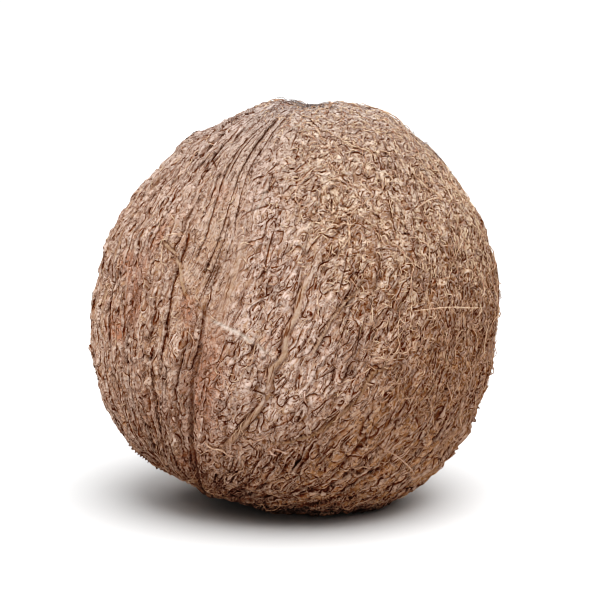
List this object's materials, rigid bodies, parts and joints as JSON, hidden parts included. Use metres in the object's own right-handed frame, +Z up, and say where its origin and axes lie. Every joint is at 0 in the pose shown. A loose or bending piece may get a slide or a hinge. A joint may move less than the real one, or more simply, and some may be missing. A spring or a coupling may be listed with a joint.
{
  "type": "coconut",
  "caption": "Whole dried coconut with coir fibre still on the shell, ridged from a crown to a pointed tip, resting on a small flat spot.",
  "frame": {"origin": "on the surface that the coconut rests on, under the middle of its box", "axes": "+Z up, -Y towards the side that shows the open seam, +X to the right of that side; the crown is on top and the pointed tip is at the lower left"},
  "size_m": [0.1228, 0.1178, 0.1215],
  "materials": {
    "coir": "dry, matt and fibrous, light tan on the ridges and dark brown in the furrows"
  },
  "bodies": {
    "root": {"coconut": "coir"}
  },
  "joints": []
}
